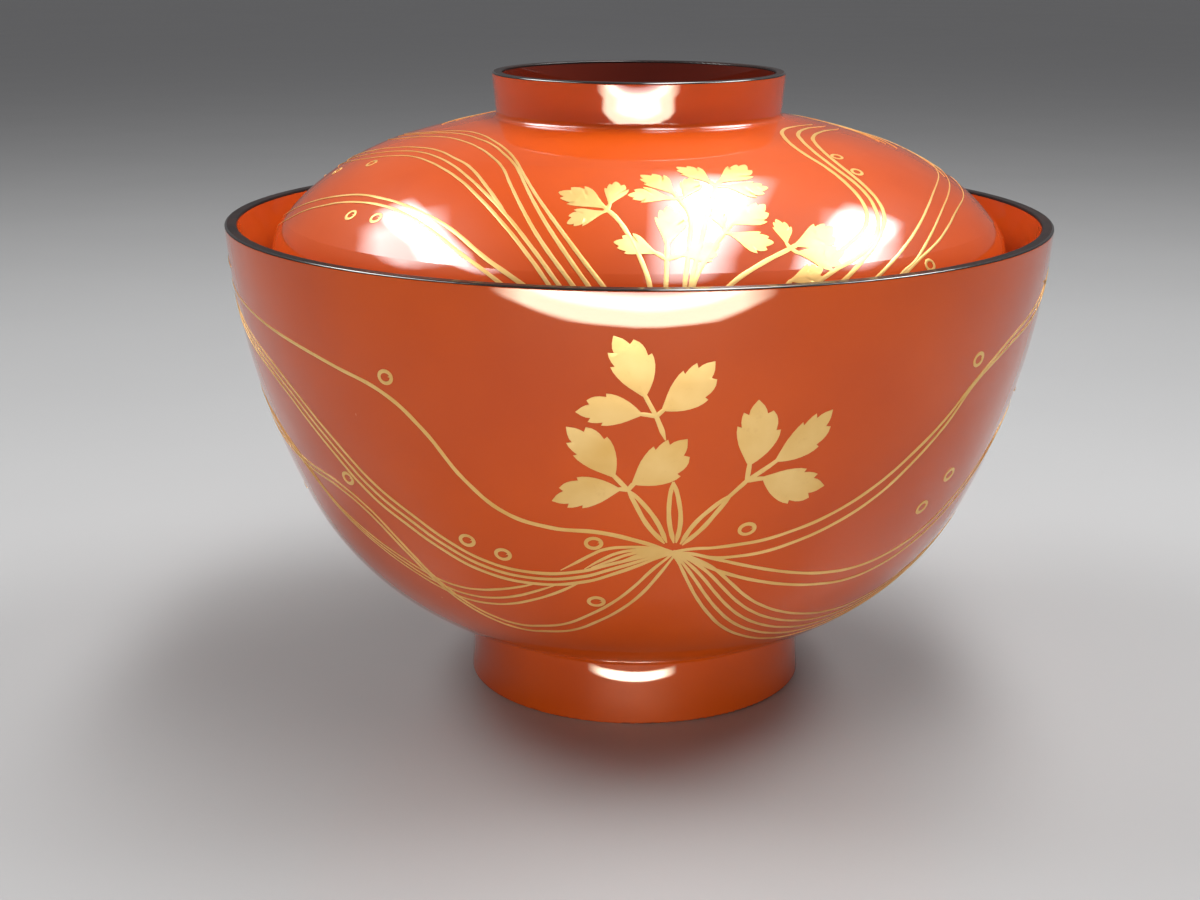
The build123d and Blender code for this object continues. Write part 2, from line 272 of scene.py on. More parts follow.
def makeGoldPowder(look):
    finish, tree, shader, where = newFinish("gold_powder_burnished", Metallic=look["metal"], IOR=bodyIor)
    patches = spread(tree, noise(tree, where, look["patchSize"], detail=3), *noiseSpan)
    grain = noise(tree, where, look["grainSize"], rough=0.7)
    colour = mixColour(tree, patches, look["deep"], look["pale"])
    thin = noise(tree, where, look["thinSize"], detail=4, rough=0.7)
    redThrough = spread(tree, thin, *look["thinSpan"], *look["thinShow"])
    tree.links.new(mixColour(tree, redThrough, colour, look["worn"]), shader.inputs["Base Color"])
    tree.links.new(spread(tree, grain, *noiseSpan, *look["rough"]), shader.inputs["Roughness"])
    tree.links.new(bump(tree, grain, look["grainHeight"]), shader.inputs["Normal"])
    return finish


turnedWood = makeTurnedWood(woodLook)
hempCloth = makeHempCloth(clothLook)
goldPowder = makeGoldPowder(goldLook)

finishes = {
    "bowl_core": turnedWood,
    "lid_core": turnedWood,
    "bowl_rim_cloth": hempCloth,
    "bowl_foot_cloth": hempCloth,
    "lid_rim_cloth": hempCloth,
    "bowl_outer_coat": bowlLacquer,
    "lid_outer_coat": lidLacquer,
    "bowl_inner_coat": liningLacquer,
    "lid_inner_coat": liningLacquer,
    "foot_recess_coat": liningLacquer,
    # painted shade in the knob's hollow
    "knob_recess_coat": knobHollowShadeLacquer,
    "foot_edge_band": footEdgeLacquer,
    "bowl_rim_band": blackLacquer,
    "lid_rim_band": blackLacquer,
    "knob_edge_band": blackLacquer,
}
for nodeName, finish in finishes.items():
    nodes[nodeName].data.materials.clear()
    nodes[nodeName].data.materials.append(finish)
print("finishes on", len(finishes), "nodes")


# The skins that carry the gold, read off the coats

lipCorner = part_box("bowl_outer_coat")[1] / mm
bowlReading = {  # start and focus in mm, slopes of the first and last ray in degrees
    "coat": "bowl_outer_coat",
    "start": (lipCorner.x, lipCorner.z),
    "focus": 45,
    "slopes": (21.8, -54),
}
lidReading = {
    "coat": "lid_outer_coat",
    "start": (20.77, 84.84),
    "focus": 30,
    "slopes": (68.4, 24.2),
}
readings = 240
castReach = 0.3  # metres


def readSkin(look):  # in mm, with the drop along the outside, from the lip's corner or the knob's foot
    coat = nodes[look["coat"]]
    focus = Vector((0, 0, look["focus"] * mm))
    first, last = look["slopes"]
    skin = {"drop": [0], "radius": [look["start"][0]], "height": [look["start"][1]]}
    for step in range(readings + 1):
        slope = math.radians(first + (last - first) * step / readings)
        away = Vector((0, -math.cos(slope), math.sin(slope)))
        place = coat.ray_cast(focus + away * castReach, -away)[1]
        radius, height = -place.y / mm, place.z / mm
        further = math.hypot(radius - skin["radius"][-1], height - skin["height"][-1])
        skin["drop"].append(skin["drop"][-1] + further)
        skin["radius"].append(radius)
        skin["height"].append(height)
    return skin


def skinAt(skin, drop):
    after = min(max(bisect(skin["drop"], drop), 1), len(skin["drop"]) - 1)
    start, length = skin["drop"][after - 1], skin["drop"][after] - skin["drop"][after - 1]
    outward = (skin["radius"][after] - skin["radius"][after - 1]) / length
    downward = (skin["height"][after - 1] - skin["height"][after]) / length
    run = min(max(drop - start, 0), length)
    radius = skin["radius"][after - 1] + outward * run
    height = skin["height"][after - 1] - downward * run
    return radius, height, outward, downward


def onSkin(skin, azimuth, drop, lift):
    radius, height, outward, downward = skinAt(skin, drop)
    radius, height = radius + lift * downward, height + lift * outward
    turn = math.radians(azimuth)
    return Vector((radius * math.sin(turn), -radius * math.cos(turn), height)) * mm


def perDegree(skin, drop):  # mm round the skin for each degree
    return math.radians(skinAt(skin, drop)[0])


bowlSkin = readSkin(bowlReading)
lidSkin = readSkin(lidReading)
print("skins read: bowl %.1f mm, lid %.1f mm long" % (bowlSkin["drop"][-1], lidSkin["drop"][-1]))


# Brush strokes of gold

goldLift = {"edge": 0.045, "crest": 0.08, "leafEdge": 0.05, "leaf": 0.06, "under": 0.08}  # mm off the skin
seams = {"ring": 0.002 * mm, "leaf": 0.001 * mm}  # points nearer than this are one
handPressure = {"depth": 0.1, "beat": 0.9, "drift": 0.37}  # how a stroke swells and thins along its run
sides = (0, 180)  # the front, and the same again on the back
strokeEnds = {  # the length in mm over which an end thins, and its tip as a share of the width
    "far": (70, 0.12),
    "fine": (14, 0.2),
    "knot": (4, 0.7),
    "plain": (3, 0.3),
    "stalk": (1.2, 0.3),
    "joint": (0.05, 0.9),
}


def drawnLine(points, steps=8):  # a smooth line through points of azimuth, drop and gap
    curve = bpy.data.curves.new("line", "CURVE")
    curve.dimensions = "3D"
    spline = curve.splines.new("BEZIER")
    spline.bezier_points.add(len(points) - 1)
    for knot, point in zip(spline.bezier_points, points):
        knot.handle_left_type = "AUTO"
        knot.handle_right_type = "AUTO"
        knot.co = Vector(point).to_3d()
    spline.resolution_u = steps
    holder = bpy.data.objects.new("line", curve)
    mesh = bpy.data.meshes.new_from_object(holder)
    line = [vertex.co.copy() for vertex in mesh.vertices]
    bpy.data.objects.remove(holder)
    bpy.data.curves.remove(curve)
    bpy.data.meshes.remove(mesh)
    return line


def heading(skin, line, index):  # unit step along the line, in mm east and down
    before, after = line[max(index - 1, 0)], line[min(index + 1, len(line) - 1)]
    scale = perDegree(skin, line[index].y)
    return Vector(((after.x - before.x) * scale, after.y - before.y)).normalized()


def strandLines(skin, path, strands):
    centre = drawnLine([(*spot, 0)[:3] for spot in path])
    lines = []
    for strand in range(strands):
        aside = strand - (strands - 1) / 2
        line = []
        for index, spot in enumerate(centre):
            ahead = heading(skin, centre, index)
            shift = aside * spot.z
            azimuth = spot.x - ahead.y * shift / perDegree(skin, spot.y)
            line.append(Vector((azimuth, spot.y + ahead.x * shift)))
        lines.append(line)
    return lines


def thinning(run, end):
    length, tip = strokeEnds[end]
    return tip + (1 - tip) * min(run / length, 1)


def brushLine(bm, skin, line, width, turn, ends=None):  # with no ends the line is a closed ring
    runs = [0]
    for first, second in zip(line, line[1:]):
        scale = perDegree(skin, second.y)
        runs.append(runs[-1] + math.hypot((second.x - first.x) * scale, second.y - first.y))
    strip = bmesh.ops.create_grid(bm, x_segments=len(line) - 1, y_segments=2, size=1)["verts"]
    for vertex in strip:
        index = round((vertex.co.x + 1) / 2 * (len(line) - 1))
        across = vertex.co.y
        spot, ahead = line[index], heading(skin, line, index)
        if not ends and index in (0, len(line) - 1):
            ahead = Vector((line[1].x - line[-2].x, line[1].y - line[-2].y))
            ahead.x *= perDegree(skin, spot.y)
            ahead.normalize()
        half = width / 2
        if ends:
            half *= min(thinning(runs[index], ends[0]), thinning(runs[-1] - runs[index], ends[1]))
        sway = math.sin(runs[index] * handPressure["beat"])
        sway *= math.cos(runs[index] * handPressure["drift"] + spot.y)
        half *= 1 + handPressure["depth"] * sway
        azimuth = spot.x + ahead.y * across * half / perDegree(skin, spot.y)
        lift = goldLift["edge"] if abs(across) > 0.5 else goldLift["crest"]
        vertex.co = onSkin(skin, azimuth + turn, spot.y - ahead.x * across * half, lift)
    if not ends:
        bmesh.ops.remove_doubles(bm, verts=strip, dist=seams["ring"])


goldPieces = []
middle = Vector((0, 0, 30 * mm))  # every gold face looks away from here
sharpFrom = 50  # degrees


def finishGold(bm, name, body):
    bmesh.ops.recalc_face_normals(bm, faces=bm.faces)
    inward = [face for face in bm.faces if face.normal.dot(face.calc_center_median() - middle) < 0]
    bmesh.ops.reverse_faces(bm, faces=inward)
    bmesh.ops.solidify(bm, geom=bm.faces[:], thickness=goldLift["under"] * mm)
    for face in bm.faces:
        face.smooth = True
    mesh = bpy.data.meshes.new(name)
    bm.to_mesh(mesh)
    bm.free()
    mesh.set_sharp_from_angle(angle=math.radians(sharpFrom))
    mesh.materials.append(goldPowder)
    piece = bpy.data.objects.new(name, mesh)
    bpy.context.scene.collection.objects.link(piece)
    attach(piece, body)
    goldPieces.append(piece)
    print(name, "made:", len(mesh.polygons), "faces")


# Streams of water: a path is azimuth in degrees, drop in mm and the gap between strands in mm

bowlStreams = {
    "width": 0.5,
    "strokes": [
        {"ends": ("far", "knot"), "width": 0.6, "path": [
            (-97, 7.4), (-78, 8), (-57, 10.5), (-41, 13.5), (-33, 16), (-28, 20.2), (-23.2, 26.7),
            (-18, 31.2), (-11.7, 33), (-4.7, 33.4), (0.5, 34.7), (5.2, 36.5)]},
        {"strands": 3, "ends": ("far", "knot"), "path": [
            (-109, 6.4, 0.06), (-96, 8.2, 0.45), (-80, 10.5, 0.8), (-66, 14.5, 1), (-56, 18.5, 1.1),
            (-48, 24.5, 1.2), (-40, 31.7, 1.3), (-34.5, 35.2, 1.25), (-30, 38, 1.15), (-23.7, 40.9, 1.1),
            (-15.5, 42.1, 1.05), (-7.7, 41.1, 0.95), (-3.5, 39.6, 0.85), (0, 38.3, 0.65), (3, 37.2, 0.35),
            (5.5, 36.6, 0.12)]},
        {"strands": 2, "ends": ("far", "knot"), "width": 0.46, "path": [
            (-107, 23, 0.06), (-95, 24.3, 0.45), (-75, 28, 0.8), (-57, 31.5, 0.9), (-49, 32.8, 1),
            (-43.5, 35.5, 1), (-39, 40, 0.8), (-34, 46.3, 0.6), (-30.5, 50, 0.8), (-26.5, 52.7, 1.1),
            (-21.5, 54.2, 1.4), (-16.5, 53.8, 1.6), (-11.5, 52.5, 1.8), (-7, 49.8, 1.8), (-3, 46.8, 1.75),
            (0.3, 43.5, 1.6), (3, 40, 1.2), (5, 37.5, 0.5), (5.6, 36.7, 0.2)]},
        {"ends": ("far", "plain"), "width": 0.42, "path": [
            (-87, 21.4), (-70, 25.5), (-60, 30.3), (-53.5, 36.2), (-47.5, 39.6), (-40, 43), (-33.8, 45.5),
            (-29.8, 46.2), (-25.8, 46), (-21.9, 45.2), (-18.1, 44.1), (-15, 43)]},
        {"ends": ("far", "plain"), "width": 0.42, "path": [
            (-87, 21.6), (-70, 26), (-60, 31), (-53, 37), (-47, 40.5), (-40, 43.9), (-33, 46.9),
            (-27.6, 47.7), (-23, 47.2), (-19.1, 46.1), (-15.3, 44.5), (-12.2, 43.1)]},
        {"ends": ("far", "plain"), "width": 0.42, "path": [
            (-87, 21.8), (-70, 26.5), (-60, 31.7), (-52.5, 37.8), (-46.5, 41.4), (-40, 44.8), (-33, 48),
            (-29.2, 48.9), (-25.1, 48.9), (-21.1, 48.2), (-16.6, 46.6), (-12.9, 44.9), (-7.8, 42)]},
        {"strands": 2, "ends": ("knot", "far"), "path": [
            (5, 36.6, 0.12), (8, 36.5, 0.8), (11.2, 36.9, 1.7), (14.5, 36.8, 2), (18.5, 36.4, 2.1),
            (22.3, 35.5, 2.1), (28, 33.6, 2), (35, 30, 1.9), (40.5, 25.8, 1.5), (45.5, 21.4, 1),
            (50, 16.8, 0.4), (57, 13, 0.9), (68, 9.8, 1.4), (78, 6.5, 1.2), (92, 4.6, 0.6),
            (107, 5.3, 0.06)]},
        {"strands": 2, "ends": ("knot", "far"), "path": [
            (5, 36.6, 0.12), (8.1, 37.3, 0.65), (11.4, 38.8, 1.6), (15.3, 40.3, 2), (19.9, 41.8, 2.2),
            (25.3, 43.2, 2.2), (30.5, 44.1, 2.2), (37, 44.5, 2.3), (44, 43.5, 2), (51, 41.2, 1.6),
            (58, 37.5, 1.6), (65, 33, 1.4), (72, 28, 1), (84, 24, 0.7), (100, 22, 0.06)]},
        {"strands": 5, "ends": ("knot", "far"), "width": 0.46, "path": [
            (5.2, 36.5, 0.12), (6.4, 37.4, 0.3), (8.3, 39.2, 0.7), (10, 41.1, 1), (12.5, 44.3, 1.25),
            (15.1, 47.3, 1.4), (18.7, 50.5, 1.6), (23.8, 53.5, 1.75), (30, 55.8, 1.85), (37, 57, 1.8),
            (46, 56.3, 1.5), (55, 53.3, 1.2), (66, 47.5, 0.9), (80, 42.5, 0.6), (95, 40, 0.3),
            (109, 39.2, 0.04)]},
        {"ends": ("plain", "knot"), "width": 0.45, "path": [
            (-11, 40.2), (-8.6, 38.7), (-6.3, 37.2), (-4.4, 36.2), (-1.2, 35.7), (2.7, 35.9),
            (5.4, 36.6)]},
        {"ends": ("plain", "knot"), "width": 0.45, "path": [
            (-7.4, 39.7), (-4.9, 38), (-2.7, 36.8), (-0.2, 36.2), (2.7, 36.2), (5.4, 36.6)]},
        {"ends": ("plain", "knot"), "width": 0.45, "path": [
            (-6.4, 39.4), (-3.4, 38), (-1.2, 37), (0.9, 36.5), (5.4, 36.6)]},
        {"ends": ("plain", "knot"), "width": 0.45, "path": [
            (-3.4, 38.8), (-1.2, 37.8), (0.9, 36.9), (5.4, 36.6)]},
    ],
}
lidStreams = {
    "width": 0.58,
    "strokes": [
        {"ends": ("far", "plain"), "path": [
            (-96, 14.5), (-80, 9.8), (-66, 6.5), (-56, 6.1), (-44, 7.7), (-35, 10.2), (-28.5, 13.3),
            (-23.5, 17), (-18.5, 21.4), (-12, 27.8), (-4.5, 36.2), (3.5, 45.5)]},
        {"ends": ("far", "plain"), "path": [
            (-96, 15.5), (-80, 10.6), (-71, 8.4), (-61, 7.3), (-51, 7.7), (-41, 9.2), (-33.5, 11.7),
            (-27.5, 14.6), (-24, 17.2), (-21, 20), (-15.5, 25.8), (-6.5, 36.2), (0.5, 45)]},
        {"ends": ("far", "plain"), "path": [
            (-96, 17.2), (-86, 14.4), (-76, 11.3), (-65.5, 9.4), (-54.5, 9.2), (-43.5, 10.6),
            (-35.5, 12.9), (-29, 16), (-24.5, 19.6), (-20.5, 23.4), (-14.5, 29.8), (-8.5, 36.3),
            (-2, 44)]},
        {"ends": ("far", "plain"), "path": [
            (-100, 25), (-84, 19.2), (-71.5, 15.2), (-64, 13.7), (-54.5, 13.2), (-44.5, 14.6),
            (-37, 16.5), (-28, 21.1), (-21.5, 25.8)]},
        {"ends": ("far", "plain"), "path": [
            (-92, 23.5), (-78.5, 19.2), (-67.5, 15.9), (-59.5, 14.7), (-51, 14.9), (-42, 16.5),
            (-35, 18.8), (-29, 21.5), (-21.5, 26), (-15.5, 31), (-10.5, 36.2), (-4, 43.5)]},
        {"ends": ("far", "plain"), "path": [
            (-92, 24.7), (-74, 19.6), (-63.5, 16.8), (-57.5, 16.1), (-50, 16.5), (-43, 17.7),
            (-36.5, 19.5), (-30.5, 22), (-21.5, 27.4), (-15, 32.9), (-12, 36.1), (-5.5, 43.5)]},
        {"ends": ("far", "plain"), "path": [
            (-95, 38), (-82, 33.8), (-73.5, 30.6), (-67, 28.4), (-61, 26.8), (-55.5, 25.8), (-49, 25.6),
            (-43.5, 25.9), (-37.5, 26.9), (-30, 29), (-21.5, 33.3), (-15.5, 36.4), (-6, 42)]},
        {"ends": ("far", "plain"), "path": [
            (-92, 39), (-76.5, 34.2), (-70, 31.3), (-64, 29.3), (-58.5, 27.8), (-53, 27), (-47.5, 26.8),
            (-42, 27.3), (-34, 29.3), (-26.5, 32.5), (-18.5, 36.5), (-9, 42.5)]},
        {"ends": ("fine", "plain"), "path": [
            (80, 4.6), (66, 3.3), (54, 3.9), (48.5, 5.9), (44.5, 9.1), (42.7, 12.7), (42.2, 16.3),
            (41.8, 21), (41.3, 24.2), (40.3, 26.4), (38.6, 28.3), (36, 30), (33.3, 31.2), (26.5, 34.3),
            (12, 42)]},
        {"ends": ("fine", "plain"), "path": [
            (84, 6.4), (68, 4.8), (57, 5.7), (53, 7.1), (48, 10.7), (45.2, 14.6), (44.1, 17.9), (44, 21),
            (43.6, 23.9), (42.4, 26.6), (41, 28.6), (39, 30.3), (37, 31.8), (34.2, 33.1), (27.3, 35.5),
            (13, 42.5)]},
        {"ends": ("fine", "plain"), "path": [
            (86, 8.4), (70, 6.8), (58, 7.8), (54.6, 9), (50, 12.1), (47.2, 15.6), (46, 18.9),
            (45.5, 22.2), (44.9, 24.9), (43.6, 27.3), (42, 28.9), (39.5, 30.6), (37, 32.2), (34.3, 33.7),
            (29.3, 36.5), (18, 42.5)]},
        {"ends": ("far", "plain"), "path": [
            (96, 22.5), (80, 23.8), (65, 25.5), (57.3, 27.4), (51, 29.6), (45.6, 31.8), (41, 33.8),
            (35.2, 36.5), (24, 42)]},
        {"ends": ("far", "plain"), "path": [
            (94, 24.3), (80, 25.6), (64.7, 27.7), (57.7, 29.4), (51, 31.8), (46.4, 33.8), (43, 35.4),
            (40.2, 36.4), (29, 42)]},
        {"ends": ("far", "plain"), "path": [
            (92, 27), (78, 28.4), (64, 29.8), (57.2, 31.4), (51.4, 33.1), (47.5, 34.2), (43.6, 35.4),
            (41.1, 36.4), (31, 41.5)]},
    ],
}


def makeStreams(name, body, skin, look):
    bm = bmesh.new()
    for stroke in look["strokes"]:
        for line in strandLines(skin, stroke["path"], stroke.get("strands", 1)):
            for turn in sides:
                brushLine(bm, skin, line, stroke.get("width", look["width"]), turn, stroke["ends"])
    finishGold(bm, name, body)


makeStreams("bowl_gold_streams", "bowl", bowlSkin, bowlStreams)
makeStreams("lid_gold_streams", "lid", lidSkin, lidStreams)


# Dew rings beside the streams, by azimuth and drop

bowlDew = {
    "across": 2.5,
    "down": 2.15,
    "tilt": -12,
    "width": 0.5,
    "places": [(-32.6, 13.5), (-45.6, 30.8), (-25, 36.8), (-19.6, 38.4), (-5.8, 35.2), (-6.1, 45.9),
               (15.5, 33.3), (49.6, 13.3), (52, 31), (47.7, 35.3)],
}
lidDew = {
    "across": 2.1,
    "down": 1.8,
    "tilt": -12,
    "width": 0.4,
    "places": [(-80.4, 24.3), (-68, 20), (-52.8, 29.4), (-46, 29), (50.5, 14.3), (48.4, 18.8),
               (46, 36.2)],
}
ringSteps = 28


def makeDew(name, body, skin, look):
    bm = bmesh.new()
    tilt = math.radians(look["tilt"])
    for azimuth, drop in look["places"]:
        ring = []
        for step in range(ringSteps + 1):
            angle = math.tau * step / ringSteps
            along = (look["across"] - look["width"]) / 2 * math.cos(angle)
            over = (look["down"] - look["width"]) / 2 * math.sin(angle)
            east = along * math.cos(tilt) - over * math.sin(tilt)
            ring.append(Vector((azimuth + east / perDegree(skin, drop),
                                drop + along * math.sin(tilt) + over * math.cos(tilt))))
        for turn in sides:
            brushLine(bm, skin, ring, look["width"], turn)
    finishGold(bm, name, body)


makeDew("bowl_gold_dew", "bowl", bowlSkin, bowlDew)
makeDew("lid_gold_dew", "lid", lidSkin, lidDew)


# Leaf sprigs: each leaf is its base and tip, by azimuth and drop, and how plump it is

bowlLeaf = {  # the left and right edge from base to tip: share of the length, half width as a share
    "edges": [
        [(0, 0.04), (0.1, 0.105), (0.2, 0.17), (0.3, 0.225), (0.41, 0.265), (0.51, 0.287), (0.6, 0.285),
         (0.578, 0.223), (0.66, 0.235), (0.74, 0.23), (0.81, 0.207), (0.77, 0.132), (0.84, 0.118),
         (0.91, 0.08), (1, 0.004)],
        [(0, 0.04), (0.05, 0.1), (0.11, 0.16), (0.18, 0.22), (0.266, 0.275), (0.36, 0.32), (0.45, 0.345),
         (0.53, 0.35), (0.526, 0.285), (0.63, 0.298), (0.7, 0.292), (0.76, 0.272), (0.83, 0.22),
         (0.787, 0.137), (0.85, 0.12), (0.91, 0.088), (1, 0.004)],
    ],
    "bend": 0.03,
}
lidLeaf = {
    "edges": [
        [(0, 0.04), (0.12, 0.085), (0.25, 0.14), (0.38, 0.195), (0.5, 0.24), (0.6, 0.265), (0.68, 0.265),
         (0.642, 0.2), (0.73, 0.2), (0.82, 0.185), (0.88, 0.155), (0.84, 0.085), (0.89, 0.08),
         (0.95, 0.055), (1, 0.015)],
        [(0, 0.04), (0.12, 0.1), (0.24, 0.18), (0.36, 0.27), (0.47, 0.335), (0.58, 0.365), (0.66, 0.365),
         (0.611, 0.28), (0.72, 0.29), (0.81, 0.265), (0.87, 0.225), (0.82, 0.14), (0.88, 0.115),
         (0.95, 0.07), (1, 0.015)],
    ],
    "bend": 0.03,
}
leafSweep = {  # the midrib lags behind the edges
    "lag": 0.6,  # as a share of the half width
    "ramp": 0.4,  # in full from this share of the length on
}
leafGrid = {"columns": 6, "edge": 0.99}  # columns across a leaf, and what counts as its edge
bowlSprigs = {
    "stemWidth": 0.6,
    "stalkReach": 0.12,
    "sprigs": [
        {"joint": (2.4, 16.1),
         "leaves": [((1, 13.3), (-2.7, 5.7), 0.97), ((3.3, 15.2), (9.2, 9), 0.9),
                    ((0.5, 15.8), (-7.3, 15.7), 0.86)],
         "stems": [[(2.4, 16.1), (3, 17.7), (3.6, 19.4)]]},
        {"joint": (-1, 26.6),
         "leaves": [((-2.8, 24.5), (-8.6, 17.8), 0.9), ((-0.2, 25.6), (6.4, 19.3), 0.95),
                    ((-2.2, 26.5), (-11, 28.7), 0.84)],
         "stems": [[(-1, 26.6, 0.1), (0.3, 28.5, 0.8), (2.2, 31.7, 1.3), (4.2, 35, 0.3)]]},
        {"joint": (14.4, 25.7),
         "leaves": [((14.5, 23.2), (14.8, 14.3), 1), ((18.1, 23), (24.9, 16.5), 0.75),
                    ((16.7, 25.5), (25.7, 27.6), 0.95)],
         "stems": [[(14.4, 25.7), (12.6, 27.6), (11.6, 28.7)],
                   [(12.6, 27.6, 0.1), (10.6, 29.8, 0.9), (8.6, 32.3, 1.3), (6.4, 35.3, 0.3)]]},
        {"joint": None, "leaves": [],
         "stems": [[(4.8, 25.4, 0.1), (5, 28, 1.1), (5.3, 31.5, 1.4), (5.5, 35, 0.3)]]},
    ],
}
lidSprigs = {
    "stemWidth": 0.6,
    "stalkReach": 0.15,
    "sprigs": [
        {"joint": (-5, 24.3),
         "leaves": [((-5.5, 23.8), (-13.9, 21), 1), ((-4.7, 23.2), (-4.2, 18.3), 1),
                    ((-5.5, 24.7), (-11.1, 27), 1)],
         "stems": [[(-5, 24.3), (-3.6, 25.5), (-1.6, 28.2), (0.5, 32.5), (1.7, 36.3), (2, 41)]]},
        {"joint": (4.1, 32.4),
         "leaves": [((2.5, 31.4), (-3.4, 29.8), 1), ((4.3, 30.1), (4.9, 23.6), 1),
                    ((6.2, 31.8), (11.9, 30.4), 1)],
         "stems": [[(4.1, 32.4), (3.8, 36.3), (3.7, 42)]]},
        {"joint": (7, 22),
         "leaves": [((6.3, 20.8), (0.8, 16.5), 1), ((5.5, 22), (-1.7, 21.3), 1),
                    ((8.2, 21.6), (10.2, 17.2), 1)],
         "stems": [[(7, 22), (8.3, 25), (7.6, 30), (6.3, 36.3), (6, 42)]]},
        {"joint": (14.5, 19.5),
         "leaves": [((13.6, 18.4), (8.5, 14.2), 1), ((15.7, 18.5), (23.3, 14.2), 1),
                    ((16.4, 19.6), (24.4, 20.4), 1)],
         "stems": [[(14.5, 19.5), (11.8, 24.2), (8.7, 31.5), (7.1, 36.3), (6.6, 42)]]},
        {"joint": (13.3, 28.3),
         "leaves": [((14.8, 27), (21.5, 23.8), 1), ((14.1, 28.7), (20.4, 30.4), 1),
                    ((13.3, 27.7), (12.3, 24.2), 1)],
         "stems": [[(13.3, 28.3), (10.3, 31.6), (7.4, 36.4), (7, 42)]]},
        {"joint": (22.6, 31.4),
         "leaves": [((22.3, 30.6), (22.3, 26.6), 1), ((23.7, 31), (31.4, 28.6), 1),
                    ((23.6, 32.2), (31, 32.8), 1)],
         "stems": [[(22.6, 31.4), (17.1, 33.6), (12.2, 36.4), (7, 41.5)]]},
        {"joint": (20.4, 36.6),
         "leaves": [((21.2, 36), (26.4, 34.6), 1)],
         "stems": [[(20.4, 36.6), (15, 40), (9.5, 44)]]},
    ],
}


def edgeRun(edge):  # where the midrib is, and the edge's share and half width there
    run = []
    for share, half in edge:
        lag = leafSweep["lag"] * half * min(share / leafSweep["ramp"], 1)
        run.append((share - lag, share, half))
    return run


def edgeAt(run, rib):
    after = min(max(bisect(run, rib, key=lambda spot: spot[0]), 1), len(run) - 1)
    (start, share, half), (end, nextShare, nextHalf) = run[after - 1], run[after]
    way = (rib - start) / (end - start)
    return share + (nextShare - share) * way, half + (nextHalf - half) * way


def goldLeaf(bm, skin, base, tip, plump, look, turn):
    runs = [edgeRun(edge) for edge in look["edges"]]
    ribs = sorted({round(rib, 4) for run in runs for rib, share, half in run})
    scale = perDegree(skin, (base[1] + tip[1]) / 2)
    axis = Vector(((tip[0] - base[0]) * scale, tip[1] - base[1]))
    length = axis.length
    axis.normalize()
    columns = leafGrid["columns"]
    blade = bmesh.ops.create_grid(bm, x_segments=len(ribs) - 1, y_segments=columns, size=1)["verts"]
    for vertex in blade:
        rib = ribs[round((vertex.co.x + 1) / 2 * (len(ribs) - 1))]
        share, half = edgeAt(runs[vertex.co.y > 0], rib)
        along = rib + (share - rib) * abs(vertex.co.y)
        aside = half * plump * vertex.co.y + look["bend"] * math.sin(math.pi * along)
        drop = base[1] + length * (along * axis.y + aside * axis.x)
        east = length * (along * axis.x - aside * axis.y)
        lift = goldLift["leafEdge"] if abs(vertex.co.y) > leafGrid["edge"] else goldLift["leaf"]
        vertex.co = onSkin(skin, base[0] + east / perDegree(skin, drop) + turn, drop, lift)
    bmesh.ops.remove_doubles(bm, verts=blade, dist=seams["leaf"])


def makeSprigs(name, body, skin, leafLook, look):
    blades, stems = bmesh.new(), bmesh.new()
    for sprig in look["sprigs"]:
        for turn in sides:
            for base, tip, plump in sprig["leaves"]:
                goldLeaf(blades, skin, base, tip, plump, leafLook, turn)
                inBlade = Vector(base).lerp(Vector(tip), look["stalkReach"])
                stalk = drawnLine([(*sprig["joint"], 0), (*base, 0), (*inBlade, 0)], steps=4)
                brushLine(stems, skin, stalk, look["stemWidth"], turn, ("joint", "stalk"))
            for path in sprig["stems"]:
                loop = len(path[0]) > 2  # two lines that part and meet again
                ends = ("stalk" if loop else "joint", "stalk")
                for line in strandLines(skin, path, 2 if loop else 1):
                    brushLine(stems, skin, line, look["stemWidth"], turn, ends)
    finishGold(blades, name + "_leaves", body)
    finishGold(stems, name + "_stems", body)


makeSprigs("bowl_gold", "bowl", bowlSkin, bowlLeaf, bowlSprigs)
makeSprigs("lid_gold", "lid", lidSkin, lidLeaf, lidSprigs)


# Floor, lamps and camera

floorLook = {
    "size": 5.0,
    "pale": (0.42, 0.42, 0.42, 1),
    "grey": (0.39, 0.39, 0.39, 1),
    "mottleSize": 0.12,
    "gloss": (0.2, 0.22),
    "ior": 1.3,
}


def makeFloor(look):
    finish, tree, shader, where = newFinish("pale_floor", IOR=look["ior"])
    mottle = noise(tree, where, look["mottleSize"], detail=3)
    tree.links.new(mixColour(tree, mottle, look["grey"], look["pale"]), shader.inputs["Base Color"])
    tree.links.new(spread(tree, mottle, *noiseSpan, *look["gloss"]), shader.inputs["Roughness"])
    bm = bmesh.new()
    bmesh.ops.create_grid(bm, x_segments=1, y_segments=1, size=look["size"])
    mesh = bpy.data.meshes.new("floor")
    bm.to_mesh(mesh)
    bm.free()
    mesh.materials.append(finish)
    floor = bpy.data.objects.new("floor", mesh)
    bpy.context.scene.collection.objects.link(floor)


